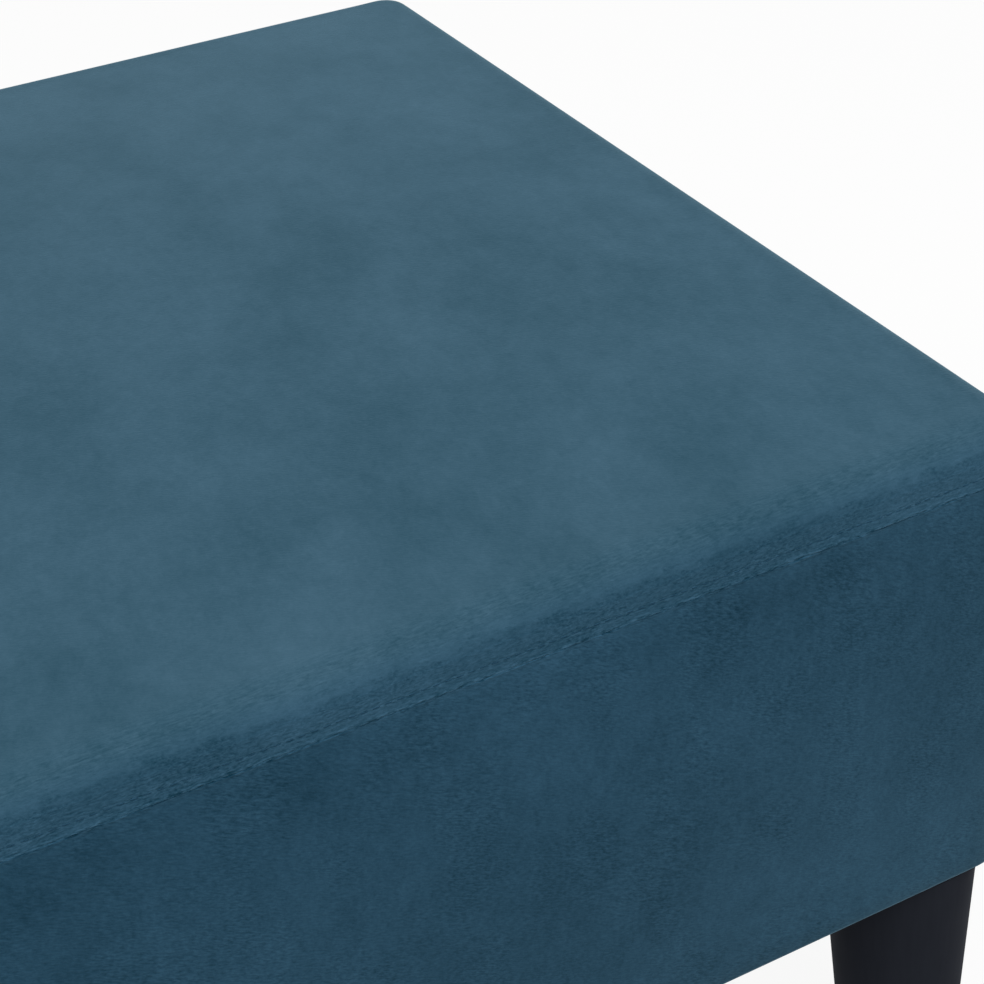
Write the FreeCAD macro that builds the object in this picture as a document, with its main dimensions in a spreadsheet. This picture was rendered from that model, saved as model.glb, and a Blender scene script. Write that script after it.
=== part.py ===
import FreeCAD
import Part
import Sketcher
import math
import os

# Upholstered footstool: a velvet-covered box seat on four round tapered legs that screw in.
# Millimetres. +Z is up, the origin is on the floor under the middle of the seat,
# +X runs along the length and the front face looks towards -Y.

Vector = FreeCAD.Vector

doc = FreeCAD.newDocument("footstool")
dim = doc.addObject("Spreadsheet::Sheet", "dim")

DRIVING_SIZES = {
    # whole stool
    "length": 780,
    "depth": 560,
    "height": 320,
    "leg_height": 120,
    # shape of the covered box
    "seat_crown": 4,
    "corner_radius": 18,
    "fold_radius": 11,
    "seam_drop": 21,
    "hem_fold_radius": 3,
    # soft layers, from the outside in
    "cover_thickness": 2,
    "padding_thickness": 3,
    "layer_gap": 0.3,
    "foam_thickness": 80,
    "hem_width": 24,
    "dust_cover_thickness": 0.8,
    "dust_cover_inset": 12,
    # timber frame
    "deck_thickness": 12,
    "rail_thickness": 15,
    "cross_rail_thickness": 18,
    "cross_rail_height": 60,
    "block_width": 50,
    "block_thickness": 28,
    # legs and their bolts
    "leg_inset": 31.5,
    "leg_top_radius": 30,
    "leg_foot_radius": 23.5,
    "leg_foot_chamfer": 1.5,
    "bolt_radius": 4,
    "bolt_reach": 34,
    "bolt_anchor": 42,
    "bolt_tip_chamfer": 1,
    "bolt_hole_clearance": 0.5,
    "running_clearance": 0.05,
    # nail-on glides under the legs
    "glide_radius": 16,
    "glide_thickness": 5,
    "glide_chamfer": 1.2,
    "nail_radius": 1.25,
    "nail_length": 14,
    "nail_tip": 2,
    # pronged nuts in the corner blocks
    "nut_barrel_radius": 5,
    "nut_barrel_length": 9,
    "nut_flange_radius": 11,
    "nut_flange_thickness": 1.5,
    "prong_width": 4,
    "prong_thickness": 1.5,
    "prong_length": 6,
    # countersunk wood screws
    "screw_radius": 2,
    "screw_tip": 5,
    "screw_head_radius": 4,
    "screw_head_height": 2.4,
    "frame_screw_length": 40,
    "deck_screw_length": 35,
    "screw_sink": 5,
    "screw_edge_distance": 20,
    "block_screw_setback": 15,
    "deck_screw_corner_distance": 60,
    "deck_screw_pitch": 240,
    "fastener_clearance": 0.1,
    # staples under the dust cover
    "staple_width": 10,
    "staple_wire": 0.7,
    "staple_leg": 6,
    "staple_inset": 18,
    "staple_pitch": 55,
    "staple_leg_clearance": 10,
}

# levels and half sizes that follow from the driving sizes
DERIVED_SIZES = {
    "edge_level": "=height - seat_crown",
    "seam_level": "=edge_level - seam_drop",
    "hem_bottom": "=leg_height + dust_cover_thickness",
    "rail_bottom": "=hem_bottom + cover_thickness",
    "padding_inset": "=cover_thickness + layer_gap",
    "frame_inset": "=padding_inset + padding_thickness + layer_gap",
    "frame_half_x": "=length / 2 - frame_inset",
    "frame_half_y": "=depth / 2 - frame_inset",
    "inner_half_x": "=frame_half_x - rail_thickness",
    "inner_half_y": "=frame_half_y - rail_thickness",
    "deck_top": "=edge_level - frame_inset - foam_thickness",
    "rail_top": "=deck_top - deck_thickness",
    "block_top": "=rail_bottom + block_thickness",
    "leg_x": "=length / 2 - leg_inset",
    "leg_y": "=depth / 2 - leg_inset",
    "bolt_tip_level": "=leg_height + bolt_reach",
    "bolt_bore_radius": "=bolt_radius + running_clearance",
    "bolt_hole_radius": "=bolt_radius + bolt_hole_clearance",
}

for row, (alias, value) in enumerate({**DRIVING_SIZES, **DERIVED_SIZES}.items(), start=1):
    dim.set(f"A{row}", alias)
    dim.set(f"B{row}", str(value))
    dim.setAlias(f"B{row}", alias)
doc.recompute()

# how far a cutting block reaches past the face it cuts, and how close counts as on a level
OVERSHOOT = 1
LEVEL_TOLERANCE = 0.01

SIDES = ("front", "back", "left", "right")
CORNERS = {
    "front_left": (-1, -1),
    "front_right": (1, -1),
    "back_left": (-1, 1),
    "back_right": (1, 1),
}

nodes = []


def size(expression):
    """Value of an expression over the sheet."""
    return float(dim.evalExpression(expression))


def bind(item, expressions):
    for prop, expression in expressions.items():
        item.setExpression(prop, expression)


def place(item, x="0", y="0", z="0"):
    bind(item, {"Placement.Base.x": x, "Placement.Base.y": y, "Placement.Base.z": z})


def keep(item):
    """Count an object as one of the stool's pieces."""
    nodes.append(item)
    return item


def signed(sign, alias):
    return f"{sign} * dim.{alias}"


# Building blocks

def attached_sketch(body, name, role):
    sketch = body.newObject("Sketcher::SketchObject", name)
    planes = [item for item in body.Origin.OriginFeatures if item.Role == role]
    sketch.AttachmentSupport = (planes[0], [""])
    sketch.MapMode = "FlatFace"
    return sketch


def pin_point(sketch, line, along, expression):
    """Hold a line's start point at a distance from the sketch origin."""
    if expression == "0":
        axis = -2 if along == "X" else -1
        sketch.addConstraint(Sketcher.Constraint("PointOnObject", line, 1, axis))
        return
    rule = Sketcher.Constraint(f"Distance{along}", -1, 1, line, 1, size(expression))
    index = sketch.addConstraint(rule)
    sketch.setExpression(f"Constraints[{index}]", expression)


def turned_body(name, profile):
    """Solid of revolution about Z through (radius, level) corners."""
    body = doc.addObject("PartDesign::Body", name)
    sketch = attached_sketch(body, f"{name}_profile", "XZ_Plane")
    points = [Vector(size(radius), size(level), 0) for radius, level in profile]
    count = len(points)
    for i in range(count):
        sketch.addGeometry(Part.LineSegment(points[i], points[(i + 1) % count]))
    for i in range(count):
        sketch.addConstraint(Sketcher.Constraint("Coincident", i, 2, (i + 1) % count, 1))
    for i, (radius, level) in enumerate(profile):
        pin_point(sketch, i, "X", radius)
        pin_point(sketch, i, "Y", level)
    turn = body.newObject("PartDesign::Revolution", f"{name}_turn")
    turn.Profile = sketch
    turn.ReferenceAxis = (sketch, ["V_Axis"])
    turn.Angle = 360
    return body


def rounded_prism(name, inset, bottom, top):
    """Upright block with the stool's rounded plan, drawn in by inset on all four sides."""
    half_x = f"dim.length / 2 - ({inset})"
    half_y = f"dim.depth / 2 - ({inset})"
    radius = f"dim.corner_radius - ({inset})"
    body = doc.addObject("PartDesign::Body", name)
    sketch = attached_sketch(body, f"{name}_plan", "XY_Plane")
    x, y, r = size(half_x), size(half_y), size(radius)
    centres = [(x - r, r - y), (x - r, y - r), (r - x, y - r), (r - x, r - y)]
    for quarter, (cx, cy) in enumerate(centres):
        circle = Part.Circle(Vector(cx, cy, 0), Vector(0, 0, 1), r)
        start = (quarter - 1) * math.pi / 2
        sketch.addGeometry(Part.ArcOfCircle(circle, start, start + math.pi / 2))
    for quarter in range(4):
        ends = sketch.Geometry[quarter].EndPoint, sketch.Geometry[(quarter + 1) % 4].StartPoint
        sketch.addGeometry(Part.LineSegment(*ends))
    for quarter in range(4):
        line = 4 + quarter
        sketch.addConstraint(Sketcher.Constraint("Tangent", quarter, 2, line, 1))
        sketch.addConstraint(Sketcher.Constraint("Tangent", line, 2, (quarter + 1) % 4, 1))
        upright = "Vertical" if quarter % 2 == 0 else "Horizontal"
        sketch.addConstraint(Sketcher.Constraint(upright, line))
    for quarter in range(1, 4):
        sketch.addConstraint(Sketcher.Constraint("Equal", 0, quarter))
    rules = [
        (Sketcher.Constraint("DistanceX", -1, 1, 4, 1, x), half_x),
        (Sketcher.Constraint("DistanceY", -1, 1, 5, 1, y), half_y),
        (Sketcher.Constraint("DistanceX", 6, 1, -1, 1, x), half_x),
        (Sketcher.Constraint("DistanceY", 7, 1, -1, 1, y), half_y),
        (Sketcher.Constraint("Radius", 0, r), radius),
    ]
    for rule, expression in rules:
        index = sketch.addConstraint(rule)
        sketch.setExpression(f"Constraints[{index}]", expression)
    pad = body.newObject("PartDesign::Pad", f"{name}_pad")
    pad.Profile = sketch
    bind(pad, {"Length": f"{top} - ({bottom})"})
    place(body, z=bottom)
    return body


def box_between(name, x, y, z):
    """Box between two expressions on each axis."""
    box = doc.addObject("Part::Box", name)
    for prop, (low, high) in {"Length": x, "Width": y, "Height": z}.items():
        bind(box, {prop: f"({high}) - ({low})"})
    place(box, x[0], y[0], z[0])
    return box


def boolean(kind, name, base, tool):
    result = doc.addObject(f"Part::{kind}", name)
    result.Base = base
    result.Tool = tool
    return result


def cut(name, base, *tools):
    """Base less each tool in turn."""
    for count, tool in enumerate(tools, start=1):
        last = count == len(tools)
        base = boolean("Cut", name if last else f"{name}_cut_{count}", base, tool)
    return base


def fixed_shape(name, shape):
    item = doc.addObject("Part::Feature", name)
    item.Shape = shape
    return item


def spread(reach, pitch):
    """Even positions from -reach to reach, about pitch apart."""
    gaps = max(1, round(2 * reach / pitch))
    return [-reach + 2 * reach * i / gaps for i in range(gaps + 1)]


# Fasteners: one pattern of each, and where the copies go

def screw_patterns(name, length):
    """A countersunk screw with its tip at the origin, and the hole that takes it."""
    screw = turned_body(name, [
        ("0", "0"),
        ("dim.screw_radius", "dim.screw_tip"),
        ("dim.screw_radius", f"{length} - dim.screw_head_height"),
        ("dim.screw_head_radius", length),
        ("0", length),
    ])
    hole = turned_body(f"{name}_hole", [
        ("0", "0"),
        ("dim.screw_radius + dim.fastener_clearance", "dim.screw_tip"),
        ("dim.screw_radius + dim.fastener_clearance", f"{length} - dim.screw_head_height"),
        ("dim.screw_head_radius + dim.fastener_clearance", length),
        ("dim.screw_head_radius + dim.fastener_clearance", f"{length} + 2 * dim.screw_sink"),
        ("0", f"{length} + 2 * dim.screw_sink"),
    ])
    return screw, hole


def driven(head, way, length):
    """Placement of a screw whose head centre is at head and which is driven along way."""
    turn = FreeCAD.Rotation(Vector(0, 0, 1), way * -1)
    return FreeCAD.Placement(head + way * length, turn)


def frame_screw_placements():
    half_x, half_y = size("frame_half_x"), size("frame_half_y")
    sink, length = size("screw_sink"), size("frame_screw_length")
    joint_x = size("frame_half_x - rail_thickness / 2")
    block_x = size("inner_half_x - block_width + block_screw_setback")
    block_y = size("inner_half_y - block_width + block_screw_setback")
    block_level = size("rail_bottom + block_thickness / 2")
    rail_levels = size("rail_bottom + screw_edge_distance"), size("rail_top - screw_edge_distance")
    cross_middle = size("rail_top - cross_rail_height / 2")
    cross_step = size("cross_rail_height / 4")
    placements = []
    for sx, sy in CORNERS.values():
        towards_y = Vector(0, -sy, 0)
        face_y = sy * (half_y - sink)
        for level in rail_levels:
            placements.append(driven(Vector(sx * joint_x, face_y, level), towards_y, length))
        placements.append(driven(Vector(sx * block_x, face_y, block_level), towards_y, length))
        side_head = Vector(sx * (half_x - sink), sy * block_y, block_level)
        placements.append(driven(side_head, Vector(-sx, 0, 0), length))
    for sy in (-1, 1):
        for level in (cross_middle - cross_step, cross_middle + cross_step):
            head = Vector(0, sy * (half_y - sink), level)
            placements.append(driven(head, Vector(0, -sy, 0), length))
    return placements


def deck_screw_placements():
    length = size("deck_screw_length")
    level = size("deck_top")
    pitch = size("deck_screw_pitch")
    rail_x = size("frame_half_x - rail_thickness / 2")
    rail_y = size("frame_half_y - rail_thickness / 2")
    along_x = spread(size("frame_half_x - deck_screw_corner_distance"), pitch)
    along_y = spread(size("frame_half_y - deck_screw_corner_distance"), pitch)
    spots = [(x, sy * rail_y) for sy in (-1, 1) for x in along_x]
    spots += [(sx * rail_x, y) for sx in (-1, 0, 1) for y in along_y]
    return [driven(Vector(x, y, level), Vector(0, 0, -1), length) for x, y in spots]


def copies(pattern, placements):
    """The pattern's solid at each placement, as one group."""
    solids = []
    for placement in placements:
        solid = pattern.copy()
        solid.Placement = placement
        solids.append(solid)
    return Part.Compound(solids)


def nut_solid(turned, clearance):
    """A nut's turned body with four prongs under its flange."""
    outer = size("nut_flange_radius") + clearance
    thickness = size("prong_thickness") + 2 * clearance
    width = size("prong_width") + 2 * clearance
    length = size("prong_length") + clearance
    seat = size("nut_barrel_length")
    corner = Vector(outer - thickness - clearance, -width / 2, seat - length)
    solid = turned
    for quarter in range(4):
        prong = Part.makeBox(thickness, width, length, corner)
        prong.rotate(Vector(0, 0, 0), Vector(0, 0, 1), 45 + 90 * quarter)
        solid = solid.fuse(prong)
    return solid.removeSplitter().Solids[0]


def nut_group(name, bore, clearance):
    barrel = f"dim.nut_barrel_radius + {clearance}"
    flange = f"dim.nut_flange_radius + {clearance}"
    flange_top = "dim.nut_barrel_length + dim.nut_flange_thickness"
    turned = turned_body(f"{name}_turned", [
        (bore, "0"),
        (barrel, "0"),
        (barrel, "dim.nut_barrel_length"),
        (flange, "dim.nut_barrel_length"),
        (flange, flange_top),
        (bore, flange_top),
    ])
    doc.recompute()
    solid = nut_solid(turned.Shape, size(clearance))
    level = size("block_top - nut_barrel_length")
    spots = [Vector(sx * size("leg_x"), sy * size("leg_y"), level) for sx, sy in CORNERS.values()]
    return fixed_shape(name, copies(solid, [FreeCAD.Placement(s, FreeCAD.Rotation()) for s in spots]))


def staple_placements():
    inset = size("staple_inset")
    edge_x, edge_y = size("length / 2") - inset, size("depth / 2") - inset
    clear = size("leg_inset + leg_top_radius + staple_leg_clearance")
    pitch = size("staple_pitch")
    level = size("leg_height")
    along_x = spread(size("length / 2") - clear, pitch)
    along_y = spread(size("depth / 2") - clear, pitch)
    lengthwise = FreeCAD.Rotation()
    crosswise = FreeCAD.Rotation(Vector(0, 0, 1), 90)
    spots = [(Vector(x, sy * edge_y, level), lengthwise) for sy in (-1, 1) for x in along_x]
    spots += [(Vector(sx * edge_x, y, level), crosswise) for sx in (-1, 1) for y in along_y]
    return [FreeCAD.Placement(spot, turn) for spot, turn in spots]


def staple_solid():
    """A staple with the underside of the cloth at its own level 0."""
    width, wire, leg = size("staple_width"), size("staple_wire"), size("staple_leg")
    solid = Part.makeBox(width, wire, wire, Vector(-width / 2, -wire / 2, -wire))
    for start in (-width / 2, width / 2 - wire):
        solid = solid.fuse(Part.makeBox(wire, wire, leg, Vector(start, -wire / 2, 0)))
    return solid.removeSplitter().Solids[0]


def build_screws():
    """The two groups of screws, and the groups of holes that take them."""
    frame_screw, frame_hole = screw_patterns("frame_screw_pattern", "dim.frame_screw_length")
    deck_screw, deck_hole = screw_patterns("deck_screw_pattern", "dim.deck_screw_length")
    doc.recompute()
    keep(fixed_shape("frame_screws", copies(frame_screw.Shape, frame_screw_placements())))
    keep(fixed_shape("deck_screws", copies(deck_screw.Shape, deck_screw_placements())))
    frame_holes = fixed_shape("frame_screw_holes", copies(frame_hole.Shape, frame_screw_placements()))
    deck_holes = fixed_shape("deck_screw_holes", copies(deck_hole.Shape, deck_screw_placements()))
    return frame_holes, deck_holes


# Timber frame

def build_frame(frame_holes, deck_holes):
    frame_plan = rounded_prism("frame_plan", "dim.frame_inset", "dim.rail_bottom", "dim.rail_top")
    between = ("-dim.inner_half_y", "dim.inner_half_y")
    # the blanks stand proud by a rail's thickness, and the frame's plan trims them
    proud_x, proud_y = "(dim.length / 2 + dim.rail_thickness)", "(dim.depth / 2 + dim.rail_thickness)"
    across = (f"-{proud_x}", proud_x)
    proud_height = ("dim.rail_bottom - dim.rail_thickness", "dim.rail_top + dim.rail_thickness")
    extents = {
        "front": (across, (f"-{proud_y}", "-dim.inner_half_y")),
        "back": (across, ("dim.inner_half_y", proud_y)),
        "left": ((f"-{proud_x}", "-dim.inner_half_x"), between),
        "right": (("dim.inner_half_x", proud_x), between),
    }
    for side in SIDES:
        blank = box_between(f"rail_blank_{side}", *extents[side], proud_height)
        rail = boolean("Common", f"rail_rounded_{side}", frame_plan, blank)
        keep(cut(f"frame_rail_{side}", rail, frame_holes, deck_holes))

    half_cross = "dim.cross_rail_thickness / 2"
    cross_height = ("dim.rail_top - dim.cross_rail_height", "dim.rail_top")
    cross = box_between("cross_rail_blank", (f"-{half_cross}", half_cross), between, cross_height)
    keep(cut("cross_rail", cross, frame_holes, deck_holes))

    deck = rounded_prism("deck_blank", "dim.frame_inset", "dim.rail_top", "dim.deck_top")
    keep(cut("deck_board", deck, deck_holes))


def build_bolt_hole(corner, sx, sy):
    """Clear hole for a leg bolt through the dust cover and the corner block."""
    hole = doc.addObject("Part::Cylinder", f"bolt_hole_{corner}")
    bind(hole, {
        "Radius": "dim.bolt_hole_radius",
        "Height": f"dim.block_top - dim.leg_height + {2 * OVERSHOOT}",
    })
    place(hole, signed(sx, "leg_x"), signed(sy, "leg_y"), f"dim.leg_height - {OVERSHOOT}")
    return hole


def build_corner_blocks(bolt_holes, frame_holes):
    keep(nut_group("t_nuts", "dim.bolt_bore_radius", "0"))
    nut_seats = nut_group("t_nut_seats", "0", "dim.fastener_clearance")
    height = ("dim.rail_bottom", "dim.block_top")
    for corner, (sx, sy) in CORNERS.items():
        spans = []
        for sign, inner in ((sx, "dim.inner_half_x"), (sy, "dim.inner_half_y")):
            span = (f"{inner} - dim.block_width", inner)
            spans.append(span if sign > 0 else (f"-{inner}", f"dim.block_width - {inner}"))
        blank = box_between(f"block_blank_{corner}", *spans, height)
        keep(cut(f"corner_block_{corner}", blank, bolt_holes[corner], nut_seats, frame_holes))


# Soft layers and covers

def side_wedges():
    """Trapezoid blocks that part a ring of cloth into four panels along its corners."""
    reach = "(dim.hem_width + dim.corner_radius)"
    proud = "dim.corner_radius"
    wedges = {}
    for side in SIDES:
        lengthwise = side in ("front", "back")
        run, thick = ("length", "depth") if lengthwise else ("depth", "length")
        wedge = doc.addObject("Part::Wedge", f"panel_wedge_{side}")
        bind(wedge, {
            "Xmin": f"-dim.{run} / 2 - {proud}",
            "Xmax": f"dim.{run} / 2 + {proud}",
            "X2min": f"{reach} - dim.{run} / 2",
            "X2max": f"dim.{run} / 2 - {reach}",
            "Ymin": f"-dim.{thick} / 2 - {proud}",
            "Ymax": f"{reach} - dim.{thick} / 2",
            "Zmin": "0",
            "Z2min": "0",
            "Zmax": "dim.height",
            "Z2max": "dim.height",
        })
        turn = {"front": 0, "right": 90, "back": 180, "left": 270}[side]
        wedge.Placement = FreeCAD.Placement(Vector(), FreeCAD.Rotation(Vector(0, 0, 1), turn))
        wedges[side] = wedge
    return wedges


def folded_outside():
    """Outside of the side panels, with the cloth's turn round the lower edge."""
    body = rounded_prism("panel_outside", "0", "dim.hem_bottom", "dim.seam_level")
    doc.recompute()
    pad = body.Tip
    lower = pad.Shape.BoundBox.ZMin
    names = [f"Edge{i}" for i, edge in enumerate(pad.Shape.Edges, start=1)
             if edge.BoundBox.ZMax < lower + LEVEL_TOLERANCE]
    fold = body.newObject("PartDesign::Fillet", "panel_lower_fold")
    fold.Base = (pad, names)
    bind(fold, {"Radius": "dim.hem_fold_radius"})
    return body


def build_side_layers():
    wedges = side_wedges()
    padding_ring = cut(
        "padding_ring",
        rounded_prism("padding_outside", "dim.padding_inset", "dim.rail_bottom", "dim.deck_top"),
        rounded_prism("padding_inside", "dim.padding_inset + dim.padding_thickness",
                      f"dim.rail_bottom - {OVERSHOOT}", f"dim.deck_top + {OVERSHOOT}"),
    )
    hem_opening = box_between(
        "hem_opening",
        ("dim.hem_width - dim.length / 2", "dim.length / 2 - dim.hem_width"),
        ("dim.hem_width - dim.depth / 2", "dim.depth / 2 - dim.hem_width"),
        (f"dim.hem_bottom - {OVERSHOOT}", f"dim.rail_bottom + {OVERSHOOT}"),
    )
    panel_ring = cut(
        "panel_ring",
        folded_outside(),
        rounded_prism("panel_inside", "dim.cover_thickness",
                      "dim.rail_bottom", f"dim.seam_level + {OVERSHOOT}"),
        hem_opening,
    )
    for side in SIDES:
        keep(boolean("Common", f"side_padding_{side}", padding_ring, wedges[side]))
        keep(boolean("Common", f"cover_{side}", panel_ring, wedges[side]))


def crowned_block(name, inset, bottom):
    """Rounded block whose top has the seat's crown and whose upper edge is folded over."""
    block = rounded_prism(f"{name}_block", inset, bottom, "dim.height")
    doc.recompute()
    overhang = size("fold_radius")
    half_x, half_y = size("length / 2") + overhang, size("depth / 2") + overhang
    level = size("edge_level") - size(inset)
    crown = size("seat_crown")
    patch = Part.BezierSurface()
    patch.increase(2, 2)
    # a quadratic patch passes a quarter of its middle pole's lift
    for i, x in enumerate((-half_x, 0, half_x)):
        for j, y in enumerate((-half_y, 0, half_y)):
            lift = 4 * crown if i == 1 and j == 1 else 0
            patch.setPole(i + 1, j + 1, Vector(x, y, level + lift))
    under_patch = patch.toShape().extrude(Vector(0, 0, -size("height")))
    crowned = block.Shape.common(under_patch)
    upper = [edge for edge in crowned.Edges if edge.BoundBox.ZMin > level - crown]
    fold = size("fold_radius") - size(inset)
    return fixed_shape(name, crowned.makeFillet(fold, upper).Solids[0])


def build_seat():
    cover_outside = crowned_block("cover_outside", "0", "dim.seam_level")
    cover_inside = crowned_block("cover_inside", "dim.cover_thickness", "dim.deck_top")
    keep(cut("cover_top", cover_outside, cover_inside))
    wadding_outside = crowned_block("wadding_outside", "dim.padding_inset", "dim.deck_top")
    wadding_inside = crowned_block("wadding_inside", "dim.padding_inset + dim.padding_thickness",
                                   "dim.rail_top")
    keep(cut("seat_wadding", wadding_outside, wadding_inside))
    keep(crowned_block("seat_foam", "dim.frame_inset", "dim.deck_top"))


def build_dust_cover(bolt_holes):
    sheet = box_between(
        "dust_cover_sheet",
        ("dim.dust_cover_inset - dim.length / 2", "dim.length / 2 - dim.dust_cover_inset"),
        ("dim.dust_cover_inset - dim.depth / 2", "dim.depth / 2 - dim.dust_cover_inset"),
        ("dim.leg_height", "dim.hem_bottom"),
    )
    keep(cut("dust_cover", sheet, *bolt_holes.values()))
    keep(fixed_shape("dust_cover_staples", copies(staple_solid(), staple_placements())))


# Legs

def build_leg(corner, sx, sy):
    bore = "dim.bolt_bore_radius"
    nail_bore = "dim.nail_radius + dim.running_clearance"
    nail_end = "dim.glide_thickness + dim.nail_length + dim.running_clearance"
    bolt_end = "dim.leg_height - dim.bolt_anchor"
    leg = turned_body(f"leg_{corner}", [
        (nail_bore, "dim.glide_thickness"),
        ("dim.leg_foot_radius - dim.leg_foot_chamfer", "dim.glide_thickness"),
        ("dim.leg_foot_radius", "dim.glide_thickness + dim.leg_foot_chamfer"),
        ("dim.leg_top_radius", "dim.leg_height"),
        (bore, "dim.leg_height"),
        (bore, bolt_end),
        ("0", bolt_end),
        ("0", nail_end),
        (nail_bore, nail_end),
    ])
    bolt = turned_body(f"leg_bolt_{corner}", [
        ("0", bolt_end),
        ("dim.bolt_radius", bolt_end),
        ("dim.bolt_radius", "dim.bolt_tip_level - dim.bolt_tip_chamfer"),
        ("dim.bolt_radius - dim.bolt_tip_chamfer", "dim.bolt_tip_level"),
        ("0", "dim.bolt_tip_level"),
    ])
    nail_top = "dim.glide_thickness + dim.nail_length"
    glide = turned_body(f"leg_glide_{corner}", [
        ("0", "0"),
        ("dim.glide_radius - dim.glide_chamfer", "0"),
        ("dim.glide_radius", "dim.glide_chamfer"),
        ("dim.glide_radius", "dim.glide_thickness"),
        ("dim.nail_radius", "dim.glide_thickness"),
        ("dim.nail_radius", f"{nail_top} - dim.nail_tip"),
        ("0", nail_top),
    ])
    for piece in (leg, bolt, glide):
        place(piece, signed(sx, "leg_x"), signed(sy, "leg_y"))
        keep(piece)


# Assembly

def build_stool():
    frame_holes, deck_holes = build_screws()
    bolt_holes = {corner: build_bolt_hole(corner, *signs) for corner, signs in CORNERS.items()}
    build_frame(frame_holes, deck_holes)
    build_corner_blocks(bolt_holes, frame_holes)
    build_side_layers()
    build_seat()
    build_dust_cover(bolt_holes)
    for corner, signs in CORNERS.items():
        build_leg(corner, *signs)
    doc.recompute()


def check_document():
    for item in doc.Objects:
        faults = {"Invalid", "Error"} & set(item.State)
        if faults:
            raise RuntimeError(f"{item.Label} is {', '.join(sorted(faults))}")
    for item in nodes:
        if item.Shape.isNull() or not item.Shape.isValid() or not item.Shape.Solids:
            raise RuntimeError(f"{item.Label} has no valid solid")


build_stool()
check_document()
os.makedirs("parts", exist_ok=True)
for item in nodes:
    item.Shape.exportStep(f"parts/{item.Label}.step")
    print(item.Label, len(item.Shape.Solids), round(item.Shape.Volume, 1))
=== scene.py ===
import math

import bmesh
import bpy
import numpy as np
from mathutils import Matrix, Vector, noise


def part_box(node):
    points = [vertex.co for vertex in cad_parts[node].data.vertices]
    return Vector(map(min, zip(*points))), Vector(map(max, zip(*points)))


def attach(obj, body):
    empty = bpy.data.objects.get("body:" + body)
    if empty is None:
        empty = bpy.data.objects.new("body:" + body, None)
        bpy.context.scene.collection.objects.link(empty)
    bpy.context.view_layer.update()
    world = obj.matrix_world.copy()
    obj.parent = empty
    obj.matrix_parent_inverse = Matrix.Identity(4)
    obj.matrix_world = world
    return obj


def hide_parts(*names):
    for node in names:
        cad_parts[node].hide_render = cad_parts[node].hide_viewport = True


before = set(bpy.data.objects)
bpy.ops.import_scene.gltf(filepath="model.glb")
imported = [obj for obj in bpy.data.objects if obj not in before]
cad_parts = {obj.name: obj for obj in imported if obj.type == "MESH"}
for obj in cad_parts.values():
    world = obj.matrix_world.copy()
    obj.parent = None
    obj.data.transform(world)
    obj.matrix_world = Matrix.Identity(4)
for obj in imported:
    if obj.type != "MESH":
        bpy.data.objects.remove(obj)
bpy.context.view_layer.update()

# Sizes in metres: what the frame gives first, then the sizes of the cloth and its stitching
MM = 0.001
CORNERS = ("front_left", "front_right", "back_left", "back_right")
QUARTER_TURNS = {"front": 0, "right": 1, "back": 2, "left": 3}

top_low, top_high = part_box("cover_top")
panel_low, panel_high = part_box("cover_front")
HALF_LENGTH = top_high.x
HALF_DEPTH = top_high.y
SEAM_LEVEL = top_low.z
PANEL_FOOT = panel_low.z
HEM_WIDTH = panel_high.y - panel_low.y
DECK_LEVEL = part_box("seat_foam")[0].z

SEAT_CROWN = 4 * MM
EDGE_LEVEL = top_high.z - SEAT_CROWN
CORNER_RADIUS = 18 * MM
FOLD_RADIUS = 11 * MM
HEM_FOLD_RADIUS = 3 * MM
SKIRT_LEAN = math.radians(3)
SEAM_ROLL = 0.12 * MM
SEAM_GAP = 0.05 * MM
CLOTH_THICKNESS = 1.6 * MM
TOPSTITCH_DROP = 17 * MM
SEAM_DROP = EDGE_LEVEL - SEAM_LEVEL
INNER_X = HALF_LENGTH - CORNER_RADIUS
INNER_Y = HALF_DEPTH - CORNER_RADIUS
CLOTH_GRID = 6 * MM


# Mesh helpers
def mesh_object(name, points, faces):
    """A smooth mesh piece in the scene."""
    mesh = bpy.data.meshes.new(name)
    places = np.asarray(points).reshape(-1, 3).tolist()
    mesh.from_pydata(places, [], [[int(i) for i in face] for face in faces])
    mesh.shade_smooth()
    piece = bpy.data.objects.new(name, mesh)
    bpy.context.scene.collection.objects.link(piece)
    return piece


def points_of(mesh):
    values = np.empty(len(mesh.vertices) * 3, np.float32)
    mesh.vertices.foreach_get("co", values)
    return values.reshape(-1, 3).astype(float)


def set_points(mesh, points):
    mesh.vertices.foreach_set("co", np.asarray(points, np.float32).ravel())
    mesh.update()


def grid_faces(rows, columns, closed=False):
    """Quads of a grid of points; closed joins its last column to the first."""
    index = np.arange(rows * columns).reshape(rows, columns)
    if closed:
        index = np.concatenate([index, index[:, :1]], axis=1)
    quads = np.stack([index[:-1, :-1], index[1:, :-1], index[1:, 1:], index[:-1, 1:]], axis=-1)
    return quads.reshape(-1, 4)


def outward_normals(mesh):
    """Turns the faces of a closed mesh outward."""
    work = bmesh.new()
    work.from_mesh(mesh)
    bmesh.ops.recalc_face_normals(work, faces=work.faces)
    work.to_mesh(mesh)
    work.free()


def axis_of(node):
    """Middle of a node in plan."""
    low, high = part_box(node)
    return (low.x + high.x) / 2, (low.y + high.y) / 2


def wavering(points, size, seed):
    """A smooth random value from about -1 to 1 at each point, with swells of the given size."""
    shift = Vector((seed, 2 * seed, 3 * seed))
    return np.array([noise.noise(Vector(point) / size + shift) for point in points])


def arc_steps(start, end, count):
    """Angles from start to end in equal steps, without the start."""
    return [start + (end - start) * step / count for step in range(1, count + 1)]


# Materials: where the mix node keeps its factor, its two colours and the mixed one
MIX_COLOUR_INPUTS = (0, 6, 7)
MIX_COLOUR_OUTPUT = 2


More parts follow.
